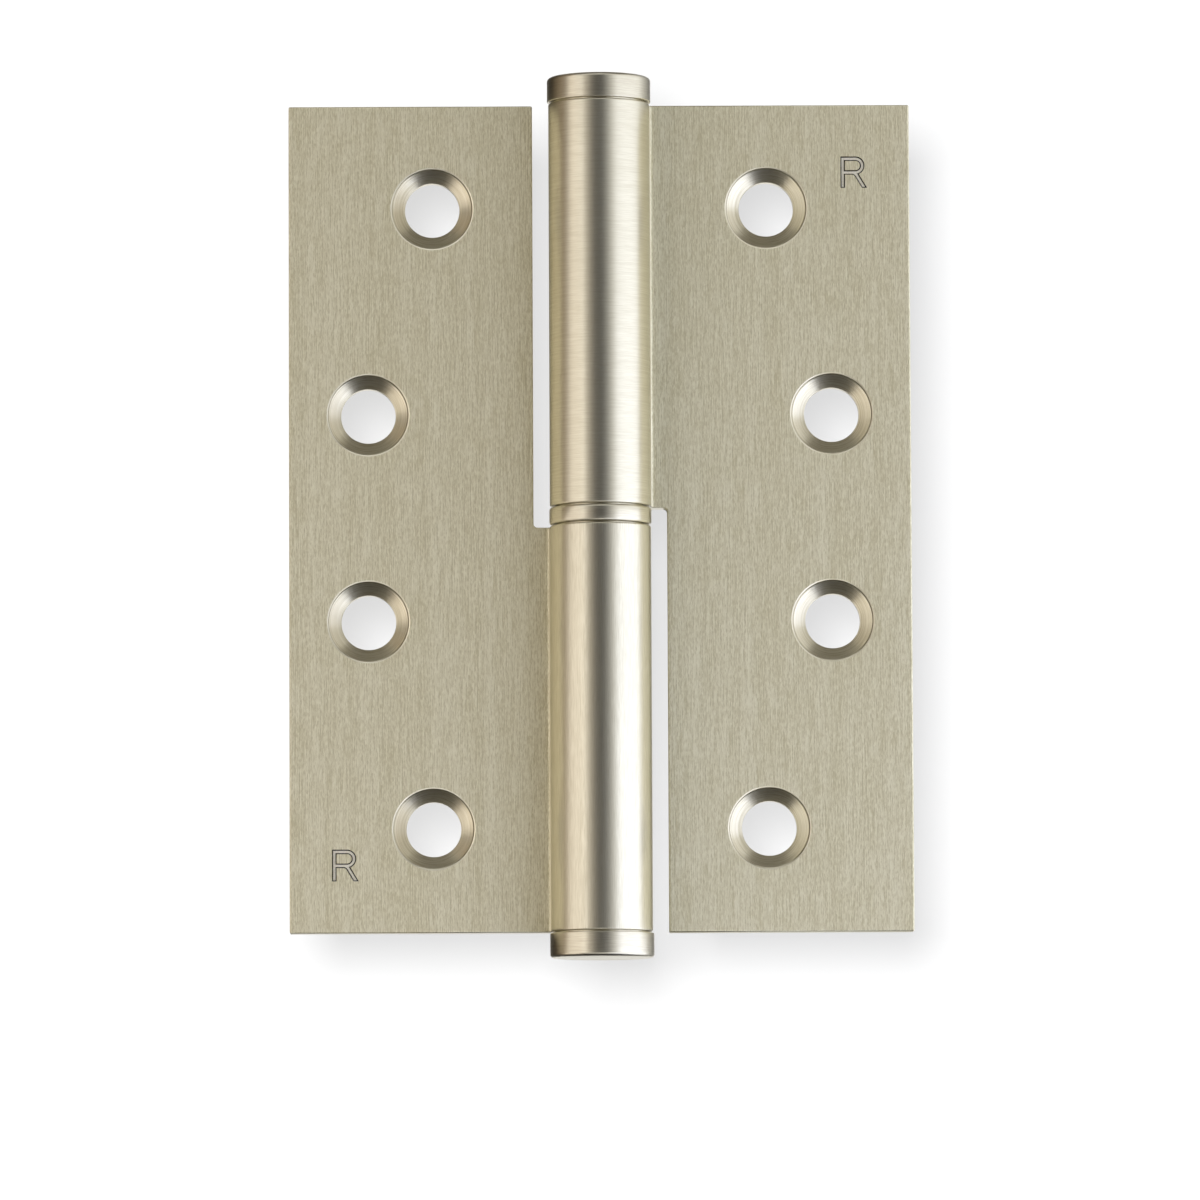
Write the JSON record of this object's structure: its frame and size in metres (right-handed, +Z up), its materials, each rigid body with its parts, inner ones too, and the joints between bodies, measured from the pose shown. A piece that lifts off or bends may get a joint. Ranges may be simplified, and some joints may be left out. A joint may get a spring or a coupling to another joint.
{
  "type": "lift-off hinge",
  "caption": "Square-cornered lift-off butt hinge: countersunk leaves on a round split barrel with a fixed pin, a thrust washer and turned end caps, so that a door lifts off its frame.",
  "frame": {"origin": "on the pin axis, at the leaves' mid-height, between the two knuckles", "axes": "+Z up along the pin, the way the door leaf lifts off; +X from the pin to the door leaf as it lies flat open; +Y out of the leaves' backs, so the countersunk faces look along -Y"},
  "size_m": [0.0762, 0.0126, 0.108],
  "materials": {
    "brushed_leaf": "nickel plated, brushed satin",
    "turned_ring": "nickel plated, turned and brushed round",
    "steel_pin": "ground steel"
  },
  "bodies": {
    "frame_leaf": {"frame_leaf": "brushed_leaf", "hinge_pin": "steel_pin", "bottom_cap": "turned_ring"},
    "thrust_washer": {"thrust_washer": "turned_ring"},
    "door_leaf": {"door_leaf": "brushed_leaf", "top_cap": "turned_ring"}
  },
  "joints": [
    {"name": "swing", "type": "hinge", "parent": "frame_leaf", "child": "thrust_washer", "pos_m": [0, 0, 0], "axis": [0, 0, 1], "range_deg": [-180, 120]},
    {"name": "lift_off", "type": "slide", "parent": "thrust_washer", "child": "door_leaf", "axis": [0, 0, 1], "range_m": [0, 0.045]}
  ]
}
